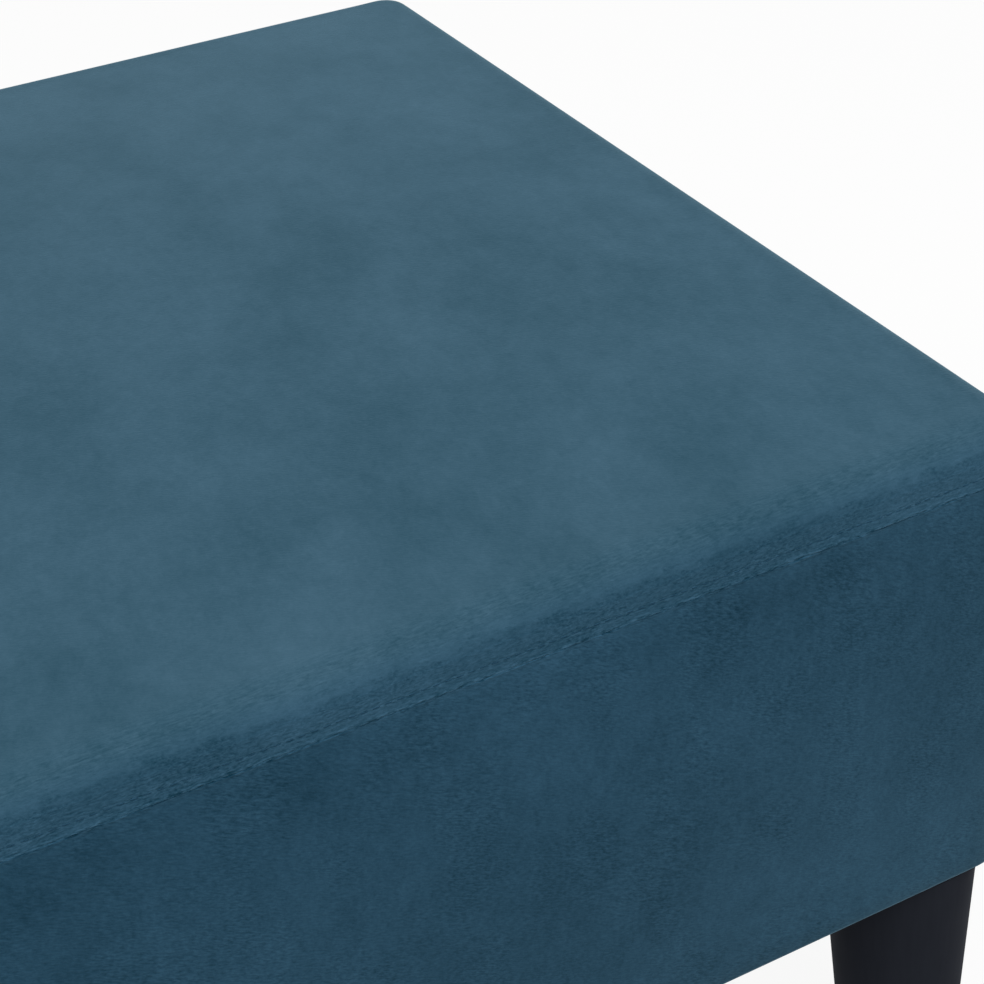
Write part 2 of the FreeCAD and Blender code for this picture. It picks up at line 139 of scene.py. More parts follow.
class Finish:
    """A material under construction: adds nodes and joins them."""

    def __init__(self, name, **sockets):
        self.material = bpy.data.materials.new(name)
        self.material.use_nodes = True
        self.tree = self.material.node_tree
        self.shader = self.tree.nodes["Principled BSDF"]
        self.place = self.add("ShaderNodeTexCoord").outputs["Object"]
        for socket, value in sockets.items():
            self.give(self.shader.inputs[socket.replace("_", " ")], value)

    def give(self, socket, value):
        if isinstance(value, bpy.types.NodeSocket):
            self.tree.links.new(value, socket)
        else:
            socket.default_value = value

    def add(self, kind, inputs=None, **settings):
        node = self.tree.nodes.new(kind)
        for key, value in settings.items():
            setattr(node, key, value)
        for key, value in (inputs or {}).items():
            self.give(node.inputs[key], value)
        return node

    def noise(self, size, detail=2.0, roughness=0.5, distortion=0.0, stretch=(1, 1, 1), turn=(0, 0, 0)):
        """Noise whose blots have the given size, drawn out by stretch along each axis and then turned."""
        scale = [size * factor for factor in stretch]
        mapping = self.add(
            "ShaderNodeMapping",
            {"Vector": self.place, "Scale": scale, "Rotation": turn},
            vector_type="TEXTURE",
        )
        node = self.add(
            "ShaderNodeTexNoise",
            {
                "Vector": mapping.outputs["Vector"],
                "Scale": 1.0,
                "Detail": detail,
                "Roughness": roughness,
                "Distortion": distortion,
            },
        )
        return node.outputs[0]

    def math(self, operation, first, second, third=0.0):
        node = self.add("ShaderNodeMath", {0: first, 1: second, 2: third}, operation=operation)
        return node.outputs[0]

    def total(self, base, *weighted):
        """Base plus each value times its weight."""
        result = base
        for value, weight in weighted:
            result = self.math("MULTIPLY_ADD", value, weight, result)
        return result

    def ramp(self, value, *stops):
        """A colour for the value: each stop is a place from 0 to 1 and a colour."""
        node = self.add("ShaderNodeValToRGB", {"Fac": value})
        elements = node.color_ramp.elements
        while len(elements) < len(stops):
            elements.new(0.5)
        for element, (place, colour) in zip(elements, stops):
            element.position = place
            element.color = (*colour, 1)
        return node.outputs["Color"]

    def spread(self, value, low, high, start=0.0, end=1.0):
        """The value from start to end turned into one from low to high."""
        limits = {"From Min": start, "From Max": end, "To Min": low, "To Max": high}
        return self.add("ShaderNodeMapRange", {"Value": value, **limits}).outputs["Result"]

    def mixed(self, share, first, second):
        """The first colour where the share is 0, the second where it is 1."""
        node = self.add("ShaderNodeMix", data_type="RGBA")
        for socket, value in zip(MIX_COLOUR_INPUTS, (share, first, second)):
            self.give(node.inputs[socket], value)
        return node.outputs[MIX_COLOUR_OUTPUT]

    def attribute(self, name):
        """A share that is kept at each point of the mesh."""
        return self.add("ShaderNodeAttribute", attribute_name=name).outputs["Fac"]

    def colour(self, colour):
        self.give(self.shader.inputs["Base Color"], colour)

    def tones(self, value, first, last, start, end):
        """Colours the surface from the first tone to the last while the value goes from start to end."""
        self.colour(self.ramp(value, (start, first), (end, last)))

    def rough(self, value, low, high):
        """Roughness from low to high as the value goes from 0 to 1."""
        self.give(self.shader.inputs["Roughness"], self.spread(value, low, high))

    def bump(self, height, distance):
        """Relief in the surface: the height times the distance."""
        relief = self.add("ShaderNodeBump", {"Height": height, "Distance": distance})
        self.give(self.shader.inputs["Normal"], relief.outputs["Normal"])


# Velvet: its colours, the reach of its shades, and the sizes and depths of its textures
# TOP_BLUE, SKIRT_BLUE and SIDE_BLUE are one velvet in three tones: partly the pile lying differently, partly
# painted light and shade fitted to how the top, the skirt and the side panels are lit
TOP_BLUE = (0.0365, 0.0932, 0.138)
SKIRT_BLUE = (0.0348, 0.1085, 0.1765)
SIDE_BLUE = (0.0248, 0.0880, 0.1490)
SHEEN_TINT = (0.48, 0.80, 1.0, 1)
SHADE_REACH = (0.84, 0.55, 0.51)
MID_SHADE = 0.5
CLOUD_SIZE = 70 * MM
GRAIN_SIZE = 45 * MM
NAP_SIZE = 0.7 * MM
CREASE_SIZE = 0.6 * MM
PATCH_SIZE = 22 * MM
RAGGED_SIZE = 3 * MM
RAGGEDNESS = 1.5
CREASE_DEPTH = 4.0
FOLDED_NAP = 0.75
# Depths of the painted shade on the rims and at the edge of the fold
PAINTED_RIM_SHADE = 0.34
PAINTED_FOLD_SHADE = 0.24
NAP_RELIEF = 0.25
PILE_RELIEF = 0.5 * MM
COMB = math.radians(28)
TOP_WEIGHTS = (0.36, 0.95, 0.13)
SIDE_WEIGHTS = (0.65, 1.35, 0.95)


def drawn_out(along, factor):
    """Stretch of a texture along one axis."""
    return [factor if axis == along else 1.0 for axis in "xyz"]


def velvet(name, blue, folded_blue, pile, seam, comb, weights):
    """Short-pile velvet: clouds, grain, a combed nap in patches, creases along the seam, painted shade on
    rims and at the fold's edge, a sheen.

    Pile and seam are axes, comb turns the nap, and the weights are those of the clouds, grain and nap.
    """
    finish = Finish(
        name,
        Roughness=0.95,
        Specular_IOR_Level=0.05,
        Sheen_Weight=0.62,
        Sheen_Roughness=0.4,
        Sheen_Tint=SHEEN_TINT,
    )
    clouds = finish.noise(CLOUD_SIZE, detail=1, distortion=0.5, stretch=drawn_out(pile, 1.6))
    grain = finish.noise(GRAIN_SIZE, detail=7, roughness=0.95, stretch=drawn_out(pile, 1.6))
    nap = finish.noise(NAP_SIZE, detail=2, roughness=0.6, stretch=drawn_out(seam, 3), turn=comb)
    creases = finish.noise(CREASE_SIZE, detail=2, roughness=0.6, distortion=0.4, stretch=drawn_out(seam, 5))
    blots = finish.noise(PATCH_SIZE, stretch=drawn_out(pile, 2))
    patches = finish.spread(blots, low=0.8, high=1.5, start=0.42, end=0.6)
    tears = finish.noise(RAGGED_SIZE, detail=3, roughness=0.6, stretch=drawn_out(seam, 3))
    ragged = finish.math("SUBTRACT", tears, 0.5)
    folded = finish.attribute("fold_share")
    creased = finish.attribute("crease_share")
    rim = finish.attribute("painted_shade_share")
    fold = finish.spread(finish.total(folded, (ragged, RAGGEDNESS)), low=0, high=1, start=0.5, end=0.85)
    # Painted shade and light: darker where the ragged fold runs ahead of the colour mix and lighter where it
    # lags, a sharp, ragged edge between the lit top and the shaded skirt
    painted_fold_edge = finish.math("SUBTRACT", fold, folded)
    nap_depth = finish.math("MULTIPLY", finish.total(weights[2], (fold, FOLDED_NAP)), patches)
    crease_depth = finish.math("MULTIPLY", creased, CREASE_DEPTH)
    # Painted shade from the share kept in the mesh on the folds and at the panels' feet, and along the fold's
    # ragged edge
    shade = finish.total(MID_SHADE, (rim, -PAINTED_RIM_SHADE), (painted_fold_edge, -PAINTED_FOLD_SHADE))
    for texture, depth in zip((clouds, grain, nap, creases), (*weights[:2], nap_depth, crease_depth)):
        shade = finish.total(shade, (finish.math("SUBTRACT", texture, 0.5), depth))
    colours = []
    for tone in (blue, folded_blue):
        dark = [part * (1 - reach) for part, reach in zip(tone, SHADE_REACH)]
        light = [part * (1 + reach) for part, reach in zip(tone, SHADE_REACH)]
        colours.append(finish.ramp(shade, (0, dark), (1, light)))
    # The top tone turns into the skirt tone over the fold: partly the pile, partly painted light and shade
    finish.colour(finish.mixed(folded, *colours))
    folds = finish.math("MULTIPLY", creases, creased)
    finish.bump(finish.total(0.0, (nap, NAP_RELIEF), (folds, 1.0)), PILE_RELIEF)
    return finish.material


# Other finishes: the first and the last tone of each, and the spacing of the dots in the dust cloth
LACQUER_TONES = (0.0226, 0.0258, 0.0348), (0.0267, 0.0305, 0.0408)
PLASTIC_TONES = (0.010, 0.010, 0.011), (0.024, 0.024, 0.026)
ZINC_TONES = (0.46, 0.47, 0.48), (0.66, 0.67, 0.67)
PINE_TONES = (0.62, 0.44, 0.26), (0.40, 0.23, 0.11)
PLY_TONES = (0.60, 0.46, 0.30), (0.46, 0.31, 0.18)
DUST_CLOTH_TONES = (0.016, 0.016, 0.018), (0.052, 0.052, 0.055)
THREAD_TONES = (0.014, 0.055, 0.098), (0.026, 0.090, 0.152)
DOT_SPACING = 1.3 * MM


def lacquer():
    """Black satin lacquer over turned wood, whose grain still stands faintly in the surface."""
    finish = Finish("black_lacquer", Specular_IOR_Level=0.03)
    grain = finish.noise(size=2.2 * MM, detail=3, stretch=drawn_out("z", 14))
    haze = finish.noise(size=22 * MM, detail=3)
    finish.tones(grain, *LACQUER_TONES, start=0.2, end=0.8)
    finish.rough(haze, low=0.66, high=0.78)
    finish.bump(grain, distance=0.04 * MM)
    return finish.material


def black_plastic():
    """Moulded plastic with a fine spark and worn clouds."""
    finish = Finish("black_plastic", Specular_IOR_Level=0.4)
    spark = finish.noise(size=0.5 * MM, detail=2)
    scuff = finish.noise(size=6 * MM, detail=4, distortion=0.6)
    finish.tones(scuff, *PLASTIC_TONES, start=0.3, end=0.9)
    finish.rough(scuff, low=0.45, high=0.65)
    finish.bump(spark, distance=0.05 * MM)
    return finish.material


def zinc_steel():
    """Bright zinc plating with faint clouds in it."""
    finish = Finish("zinc_steel", Metallic=1.0)
    cloud = finish.noise(size=4 * MM, detail=4, roughness=0.6)
    finish.tones(cloud, *ZINC_TONES, start=0.25, end=0.8)
    finish.rough(cloud, low=0.28, high=0.46)
    finish.bump(cloud, distance=0.03 * MM)
    return finish.material


def wood(name, along, tones):
    """Sawn softwood with its grain along one axis."""
    stretch = drawn_out(along, 16)
    finish = Finish(name, Specular_IOR_Level=0.3)
    rings = finish.noise(size=7 * MM, detail=3, roughness=0.55, distortion=1.2, stretch=stretch)
    fibre = finish.noise(size=0.9 * MM, detail=2, stretch=stretch)
    figure = finish.total(-0.05, (rings, 0.85), (fibre, 0.25))
    finish.tones(figure, *tones, start=0.2, end=0.75)
    finish.rough(fibre, low=0.62, high=0.82)
    finish.bump(fibre, distance=0.15 * MM)
    return finish.material


def dust_cloth():
    """Black spun cloth, point-bonded, so that small pressed dots lie between its fibres."""
    finish = Finish("dust_cloth", Roughness=0.9, Specular_IOR_Level=0.15)
    cells = {"Vector": finish.place, "Scale": 1 / DOT_SPACING}
    dots = finish.add("ShaderNodeTexVoronoi", cells, feature="F1").outputs["Distance"]
    fibres = finish.noise(size=0.7 * MM, detail=3, distortion=2.5)
    finish.tones(fibres, *DUST_CLOTH_TONES, start=0.3, end=0.75)
    finish.bump(finish.total(0.0, (dots, 0.8), (fibres, 0.5)), 0.2 * MM)
    return finish.material


def thread():
    """Spun sewing thread a little darker than the velvet, with its twist across each stitch."""
    finish = Finish("seam_thread", Roughness=0.8, Specular_IOR_Level=0.1)
    twist = finish.noise(size=0.35 * MM, detail=1)
    finish.tones(twist, *THREAD_TONES, start=0.3, end=0.8)
    finish.bump(twist, distance=0.08 * MM)
    return finish.material


velvet_top = velvet("velvet_top", TOP_BLUE, SKIRT_BLUE, "y", "x", (0, 0, -COMB), TOP_WEIGHTS)
velvet_x = velvet("velvet_long", SIDE_BLUE, SIDE_BLUE, "z", "x", (0, COMB, 0), SIDE_WEIGHTS)
velvet_y = velvet("velvet_short", SIDE_BLUE, SIDE_BLUE, "z", "y", (COMB, 0, 0), SIDE_WEIGHTS)
steel = zinc_steel()


# Cloth helpers
def dress(piece, material):
    piece.data.materials.clear()
    piece.data.materials.append(material)


def inset_of(points):
    """How far each point lies inside the box's rounded outline, and the direction straight out there."""
    past = np.maximum(np.abs(points[:, :2]) - (INNER_X, INNER_Y), 0)
    reach = np.linalg.norm(past, axis=1)
    outward = np.sign(points[:, :2]) * past / np.maximum(reach, 1e-9)[:, None]
    room = np.min((HALF_LENGTH, HALF_DEPTH) - np.abs(points[:, :2]), axis=1)
    return np.where(reach > 0, CORNER_RADIUS - reach, room), outward


def mark(mesh, name, share):
    """Keeps a share at each point of the cloth, for its material."""
    attribute = mesh.attributes.new(name, "FLOAT", "POINT")
    attribute.data.foreach_set("value", np.asarray(share, np.float32))


def bell(distance, width):
    """1 at no distance, fading to nothing past the width."""
    return np.exp(-((distance / width) ** 2))


# Seat cushion: foam and wadding under one piece of velvet, folded over the edge down to the seam
SWELL = 2.0 * MM
SWELL_FRAMES = 20
SWELL_PRESSURE = 1.0
HELD_DROP = 2 * MM
FOLD_STEPS = 8
SKIRT_ROWS = 8
ROLL_STEPS = 3
TUCK = 6 * MM
TUCK_BEND = 2 * MM
TUCK_DROP = 1.5 * MM
FOLD_START = 2 * MM
SKIRT_SLACK = 0.6 * MM
GROOVE_DEPTH = 0.12 * MM
GROOVE_WIDTH = 0.8 * MM
PUCKER_HEIGHT = 0.30 * MM
SEAT_PUCKER_SIZE = 9 * MM
SEAT_PUCKER_SQUEEZE = (1, 1, 0.5)
SEAT_PUCKER_REACH = 10 * MM
FOLD_CREASES = 0.2
FOLD_CREASE_PLACE = -3 * MM
FOLD_CREASE_REACH = 9 * MM
SKIRT_CREASES = 0.22
STITCH_CREASES = 0.3
SEAM_CREASES = 0.6
SEAM_CREASE_REACH = 1 * MM
# Where the painted shade starts on the back and end folds, how far down it reaches and how it fades
BACK_RIM = -7 * MM
END_RIM = -3.5 * MM
RIM_DROP = 5 * MM
RIM_FADE = 5.5 * MM


def skirt_inset(drop):
    """How far the leaning skirt lies inside its lower edge."""
    return (SEAM_DROP - SEAM_ROLL - drop) * math.tan(SKIRT_LEAN)


def seat_profile():
    """Each ring of the cushion: distance out from the corner arcs' centres, and drop below the edge."""
    turn = math.pi / 2 - SKIRT_LEAN
    skirt_end = SEAM_DROP - SEAM_ROLL
    fold_drop = FOLD_RADIUS * (1 - math.cos(turn))
    flat = CORNER_RADIUS - FOLD_RADIUS * math.sin(turn) - skirt_inset(fold_drop)
    rings = [(0, 0), (flat / 2, 0), (flat, 0)]
    for angle in arc_steps(0, turn, FOLD_STEPS):
        rings.append((flat + FOLD_RADIUS * math.sin(angle), FOLD_RADIUS * (1 - math.cos(angle))))
    for row in range(1, SKIRT_ROWS + 1):
        drop = fold_drop + (skirt_end - fold_drop) * row / SKIRT_ROWS
        rings.append((CORNER_RADIUS - skirt_inset(drop), drop))
    for angle in arc_steps(0, math.pi / 2, ROLL_STEPS):
        roll = CORNER_RADIUS - SEAM_ROLL * (1 - math.cos(angle))
        rings.append((roll, skirt_end + SEAM_ROLL * math.sin(angle)))
    tuck = CORNER_RADIUS - TUCK
    rings += [(tuck + TUCK_BEND, SEAM_DROP), (tuck, SEAM_DROP + TUCK_DROP), (tuck, EDGE_LEVEL - DECK_LEVEL)]
    return rings


def seat_grid():
    """Points of the cushion's skin on a grid, with the rings of the profile round a flat middle."""
    profile = np.array(seat_profile())
    rings = len(profile) - 1
    steps, bases = [], []
    for half in (INNER_X, INNER_Y):
        count = round(2 * half / CLOTH_GRID) + 1
        inside = np.linspace(-half, half, count)
        steps.append(np.concatenate([np.arange(-rings, 0), np.zeros(count), np.arange(1, rings + 1)]))
        bases.append(np.concatenate([np.full(rings, -half), inside, np.full(rings, half)]))
    step_x, step_y = np.meshgrid(*steps, indexing="ij")
    base_x, base_y = np.meshgrid(*bases, indexing="ij")
    across, along = np.abs(step_x), np.abs(step_y)
    ring = np.maximum(across, along).astype(int)
    share = np.where(across >= along, along / np.maximum(across, 1), 2 - across / np.maximum(along, 1))
    angle = share * math.pi / 4
    outward, drop = profile[ring, 0], profile[ring, 1]
    x = base_x + np.sign(step_x) * np.cos(angle) * outward
    y = base_y + np.sign(step_y) * np.sin(angle) * outward
    return np.stack([x, y, EDGE_LEVEL - drop], axis=-1)


def crown_share(points):
    """Share of the crown's full height at each point: 1 in the middle of the seat, 0 at its edge."""
    share = 1 - np.clip(np.abs(points[:, :2]) / (HALF_LENGTH, HALF_DEPTH), 0, 1) ** 2
    return share[:, 0] * share[:, 1] * (points[:, 2] > EDGE_LEVEL - FOLD_RADIUS)


def swell(piece):
    """Blows the cloth up with its fold and skirt held, and keeps that shape at the height of the swell."""
    scene = bpy.context.scene
    start = points_of(piece.data)
    held = piece.vertex_groups.new(name="held")
    held.add(np.flatnonzero(start[:, 2] < EDGE_LEVEL - HELD_DROP).tolist(), 1.0, "REPLACE")
    cloth = piece.modifiers.new("swell", "CLOTH")
    cloth.settings.quality = 6
    cloth.settings.mass = 0.3
    cloth.settings.tension_stiffness = 30
    cloth.settings.compression_stiffness = 30
    cloth.settings.bending_stiffness = 2
    cloth.settings.use_pressure = True
    cloth.settings.uniform_pressure_force = SWELL_PRESSURE
    cloth.settings.vertex_group_mass = "held"
    cloth.settings.effector_weights.gravity = 0
    cloth.point_cache.frame_end = SWELL_FRAMES
    for number in range(1, SWELL_FRAMES + 1):
        scene.frame_set(number)
    swollen = points_of(piece.evaluated_get(bpy.context.evaluated_depsgraph_get()).data)
    piece.modifiers.remove(cloth)
    piece.vertex_groups.clear()
    scene.frame_set(1)
    moved = swollen - start
    set_points(piece.data, start + moved * SWELL / np.linalg.norm(moved, axis=1).max())


def subdivide_once(piece):
    modifier = piece.modifiers.new("finer", "SUBSURF")
    modifier.levels = 1
    finer = bpy.data.meshes.new_from_object(piece.evaluated_get(bpy.context.evaluated_depsgraph_get()))
    piece.modifiers.clear()
    coarse = piece.data
    piece.data = finer
    bpy.data.meshes.remove(coarse)


def seam_relief(points, drop):
    """How far the skirt stands out: a groove under the topstitch, and small puckers down to the seam."""
    groove = -GROOVE_DEPTH * bell(drop - TOPSTITCH_DROP, GROOVE_WIDTH)
    waver = wavering(points * SEAT_PUCKER_SQUEEZE, SEAT_PUCKER_SIZE, seed=4.1)
    return groove + PUCKER_HEIGHT * waver * bell(drop - SEAM_DROP, SEAT_PUCKER_REACH)


def seat_creases(inset, drop):
    """How strongly the pile is creased: a little at the fold and on the skirt, most at stitches and seam."""
    fold = FOLD_CREASES * bell(drop - inset - FOLD_CREASE_PLACE, FOLD_CREASE_REACH)
    stitches = STITCH_CREASES * bell(drop - TOPSTITCH_DROP, SEAM_CREASE_REACH)
    seam = SEAM_CREASES * bell(drop - SEAM_DROP, SEAM_CREASE_REACH)
    skirt = SKIRT_CREASES * (drop > FOLD_RADIUS)
    return np.clip(fold + stitches + seam + skirt, 0, 1)


def painted_far_rim_shade(points, drop):
    """Painted shade on the fold along the back and the ends, and not along the front: how dark the velvet is
    painted there.
    """
    from_back = HALF_DEPTH - points[:, 1]
    from_end = HALF_LENGTH - np.abs(points[:, 0])
    reach = np.maximum(drop - from_back - BACK_RIM, drop - from_end - END_RIM)
    return np.exp(np.minimum(reach, 0) / RIM_FADE - np.maximum(drop - RIM_DROP, 0) / RIM_FADE)


def close_below(mesh):
    """Closes the cushion with a flat underside."""
    work = bmesh.new()
    work.from_mesh(mesh)
    rim = [edge for edge in work.edges if edge.is_boundary]
    underside = bmesh.ops.contextual_create(work, geom=rim)["faces"]
    bmesh.ops.triangulate(work, faces=underside)
    work.to_mesh(mesh)
    work.free()


def build_seat():
    grid = seat_grid()
    piece = mesh_object("seat_cushion", grid, grid_faces(*grid.shape[:2]))
    start = points_of(piece.data)
    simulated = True
    start[:, 2] += (SEAT_CROWN - SWELL * simulated) * crown_share(start)
    set_points(piece.data, start)
    if simulated:
        swell(piece)
    subdivide_once(piece)
    points = points_of(piece.data)
    inset, outward = inset_of(points)
    drop = EDGE_LEVEL - points[:, 2]
    on_skirt = (inset < skirt_inset(drop) + SKIRT_SLACK) & (drop > FOLD_RADIUS / 2)
    points[on_skirt, :2] += outward[on_skirt] * seam_relief(points[on_skirt], drop[on_skirt])[:, None]
    set_points(piece.data, points)
    mark(piece.data, "fold_share", np.clip((drop - FOLD_START) / (FOLD_RADIUS - FOLD_START), 0, 1))
    mark(piece.data, "crease_share", seat_creases(inset, drop))
    # Painted shade on the back and end folds
    mark(piece.data, "painted_shade_share", painted_far_rim_shade(points, drop))
    close_below(piece.data)
    piece.data.shade_smooth()
    dress(piece, velvet_top)
    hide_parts("cover_top", "seat_wadding", "seat_foam")
    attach(piece, "stool_box")


# Side panels: padded velvet, sewn to the seat at the seam and to each other at the corners
PANEL_GRID = 3 * MM
PANEL_FULLNESS = 0.9 * MM
FULLNESS_SHAPE = 0.7
FULLNESS_FADE = 12 * MM
SEAM_SINK = 0.1 * MM
SEAM_SINK_FADE = 5 * MM
CORNER_ROLL = 0.8 * MM
SEAM_ROWS = np.array([0, 0.5, 1.0, 1.8, 2.8, 4.2, 6.5, 9.5, 13.0]) * MM
FACE_ROWS = 22
HEM_STEPS = 5
HEM_SHARES = (0.3, 0.6, 0.85, 1.0)
CORNER_ROWS = np.array([0, 0.25, 0.5, 0.75, 1.0, 1.5, 2.5, 4.0, 6.0, 8.5, 11.2]) * MM
BACK_SEAM_ROWS = (4 * MM, 1 * MM)
PANEL_PUCKER_SIZE = 11 * MM
PANEL_PUCKER_SQUEEZE = (1, 1, 0.4)
PANEL_PUCKER_FADE = 9 * MM
WAVER_HEIGHT = 0.25 * MM
WAVER_SIZE = 70 * MM
WAVER_START = 20 * MM
CORNER_CREASES = 0.35
CORNER_CREASE_REACH = 0.8 * MM
PANEL_CREASES = 0.12
PANEL_CREASE_REACH = 9 * MM
LIGHT_BAND = 0.25
LIGHT_BAND_DROP = 2 * MM
LIGHT_BAND_REACH = 3.2 * MM


def panel_profile():
    """Outward offset from the box's outline and height, once round the section of a panel."""
    roll_top = SEAM_LEVEL - SEAM_GAP
    face_foot = PANEL_FOOT + HEM_FOLD_RADIUS
    section = []
    for below in SEAM_ROWS:
        section.append((-SEAM_SINK * math.exp(-below / SEAM_SINK_FADE), roll_top - below))
    start = section[-1][1]
    for row in range(1, FACE_ROWS + 1):
        section.append((0, start + (face_foot - start) * row / FACE_ROWS))
    for angle in arc_steps(0, math.pi / 2, HEM_STEPS):
        turned = HEM_FOLD_RADIUS * (math.cos(angle) - 1)
        section.append((turned, face_foot - HEM_FOLD_RADIUS * math.sin(angle)))
    for share in HEM_SHARES:
        section.append((-HEM_FOLD_RADIUS - (HEM_WIDTH - HEM_FOLD_RADIUS) * share, PANEL_FOOT))
    back = PANEL_FOOT + CLOTH_THICKNESS
    section += [(-HEM_WIDTH, back), (-HEM_FOLD_RADIUS - CLOTH_THICKNESS, back)]
    section.append((-CLOTH_THICKNESS, face_foot + CLOTH_THICKNESS))
    section.append((-CLOTH_THICKNESS, roll_top - BACK_SEAM_ROWS[0]))
    section.append((-CLOTH_THICKNESS - SEAM_SINK, roll_top - BACK_SEAM_ROWS[1]))
    section.append((-CLOTH_THICKNESS - SEAM_SINK, roll_top))
    return np.array(section)


def panel_stations(half_run):
    """Places along a panel: distance on the straight run, angle into the corner, distance from its end."""
    corner_run = CORNER_RADIUS * math.pi / 4
    angle = (corner_run - CORNER_ROWS) / CORNER_RADIUS
    straight = np.linspace(-half_run, half_run, round(2 * half_run / PANEL_GRID) + 1)
    run = np.concatenate([np.full(len(angle), -half_run), straight, np.full(len(angle), half_run)])
    turn = np.concatenate([-angle, np.zeros(len(straight)), angle[::-1]])
    end = corner_run + half_run - np.abs(run) - CORNER_RADIUS * np.abs(turn)
    return run, turn, end


def panel_points(half_run, reach):
    """Points of a panel along it, straight out and up, which of them are outer ones, and how near its end."""
    section = panel_profile()
    run, turn, end = panel_stations(half_run)
    offset, height = section[:, 0][None, :], section[:, 1][None, :]
    edge = np.clip(CORNER_ROLL - end, 0, None)
    corner_tuck = CORNER_ROLL - np.sqrt(CORNER_ROLL**2 - edge**2)
    level = np.clip((height - PANEL_FOOT) / (SEAM_LEVEL - PANEL_FOOT), 0, 1)
    bulge = PANEL_FULLNESS * np.sin(math.pi * level) ** FULLNESS_SHAPE
    full = bulge * (1 - np.exp(-end / FULLNESS_FADE))[:, None]
    outer = offset > -CLOTH_THICKNESS / 2
    folded = np.maximum(offset, -HEM_FOLD_RADIUS)
    radius = CORNER_RADIUS + folded - corner_tuck[:, None] + full * outer
    along = run[:, None] + radius * np.sin(turn)[:, None]
    out = reach + radius * np.cos(turn)[:, None]
    under = np.clip((-offset - HEM_FOLD_RADIUS) / (HEM_WIDTH - HEM_FOLD_RADIUS), 0, 1)
    widest = half_run + (CORNER_RADIUS - HEM_FOLD_RADIUS) * math.sin(math.pi / 4)
    narrowed = along * (half_run + CORNER_RADIUS - HEM_WIDTH) / widest
    along = along + (narrowed - along) * under
    out = out + (reach + CORNER_RADIUS - HEM_WIDTH - out) * under
    return np.stack([along, out, np.broadcast_to(height, along.shape)], axis=-1), outer, end


def build_panel(side):
    turns = QUARTER_TURNS[side]
    long_side = turns % 2 == 0
    half_run, reach = (INNER_X, INNER_Y) if long_side else (INNER_Y, INNER_X)
    local, outer, end = panel_points(half_run, reach)
    stations, rows = local.shape[:2]
    cosine, sine = round(math.cos(turns * math.pi / 2)), round(math.sin(turns * math.pi / 2))
    along, out = local[..., 0], -local[..., 1]
    points = np.stack([cosine * along - sine * out, sine * along + cosine * out, local[..., 2]], axis=-1)
    ends = [range(rows), range((stations - 1) * rows, stations * rows)]
    piece = mesh_object(f"side_panel_{side}", points, [*grid_faces(stations, rows, closed=True), *ends])
    flat = points.reshape(-1, 3)
    below = SEAM_LEVEL - flat[:, 2]
    face = np.broadcast_to(outer, (stations, rows)).ravel() & (flat[:, 2] > PANEL_FOOT + HEM_FOLD_RADIUS)
    outward = inset_of(flat)[1]
    pucker = PUCKER_HEIGHT * wavering(flat * PANEL_PUCKER_SQUEEZE, PANEL_PUCKER_SIZE, seed=7.7)
    pucker *= np.exp(-below / PANEL_PUCKER_FADE)
    waver = WAVER_HEIGHT * wavering(flat, WAVER_SIZE, seed=2.3) * np.clip(below / WAVER_START, 0, 1)
    flat[face, :2] += outward[face] * (pucker + waver)[face, None]
    set_points(piece.data, flat)
    outward_normals(piece.data)
    top_seam = SEAM_CREASES * bell(below, SEAM_CREASE_REACH)
    corner_seam = CORNER_CREASES * np.repeat(bell(end, CORNER_CREASE_REACH), rows)
    near_seam = PANEL_CREASES * bell(below, PANEL_CREASE_REACH)
    mark(piece.data, "crease_share", np.maximum(top_seam, corner_seam) + near_seam)
    # Painted shade along the foot of each panel, darkest at the hem
    painted_foot_shade = np.exp(-np.clip(flat[:, 2] - PANEL_FOOT, 0, None) / RIM_FADE)
    # A share below zero lightens the pile just under the seam
    mark(piece.data, "painted_shade_share", painted_foot_shade - LIGHT_BAND * bell(below - LIGHT_BAND_DROP, LIGHT_BAND_REACH))
    dress(piece, velvet_x if long_side else velvet_y)
    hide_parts(f"cover_{side}", f"side_padding_{side}")
    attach(piece, "stool_box")


# Topstitching: one row of thread round the skirt, four millimetres over the seam
STITCH_PITCH = 3.8 * MM
STITCH_LENGTH = 3.0 * MM
STITCH_DIVE = 0.30 * MM
STITCH_TAPER = 0.9
THREAD_RADIUS = 0.2 * MM
THREAD_SIDES = 6
STITCH_RINGS = 7


def outline_point(distance):
    """Point and outward direction at a distance along the box's outline, from the front left corner."""
    arc = CORNER_RADIUS * math.pi / 2
    for quarter in range(4):
        half_run, reach = (INNER_X, INNER_Y) if quarter % 2 == 0 else (INNER_Y, INNER_X)
        turn = Matrix.Rotation(quarter * math.pi / 2, 2)
        if distance <= 2 * half_run:
            return turn @ Vector((distance - half_run, -reach - CORNER_RADIUS)), turn @ Vector((0, -1))
        distance -= 2 * half_run
        if distance <= arc:
            angle = distance / CORNER_RADIUS
            outward = turn @ Vector((math.sin(angle), -math.cos(angle)))
            return turn @ Vector((half_run, -reach)) + outward * CORNER_RADIUS, outward
        distance -= arc
    return outline_point(0)


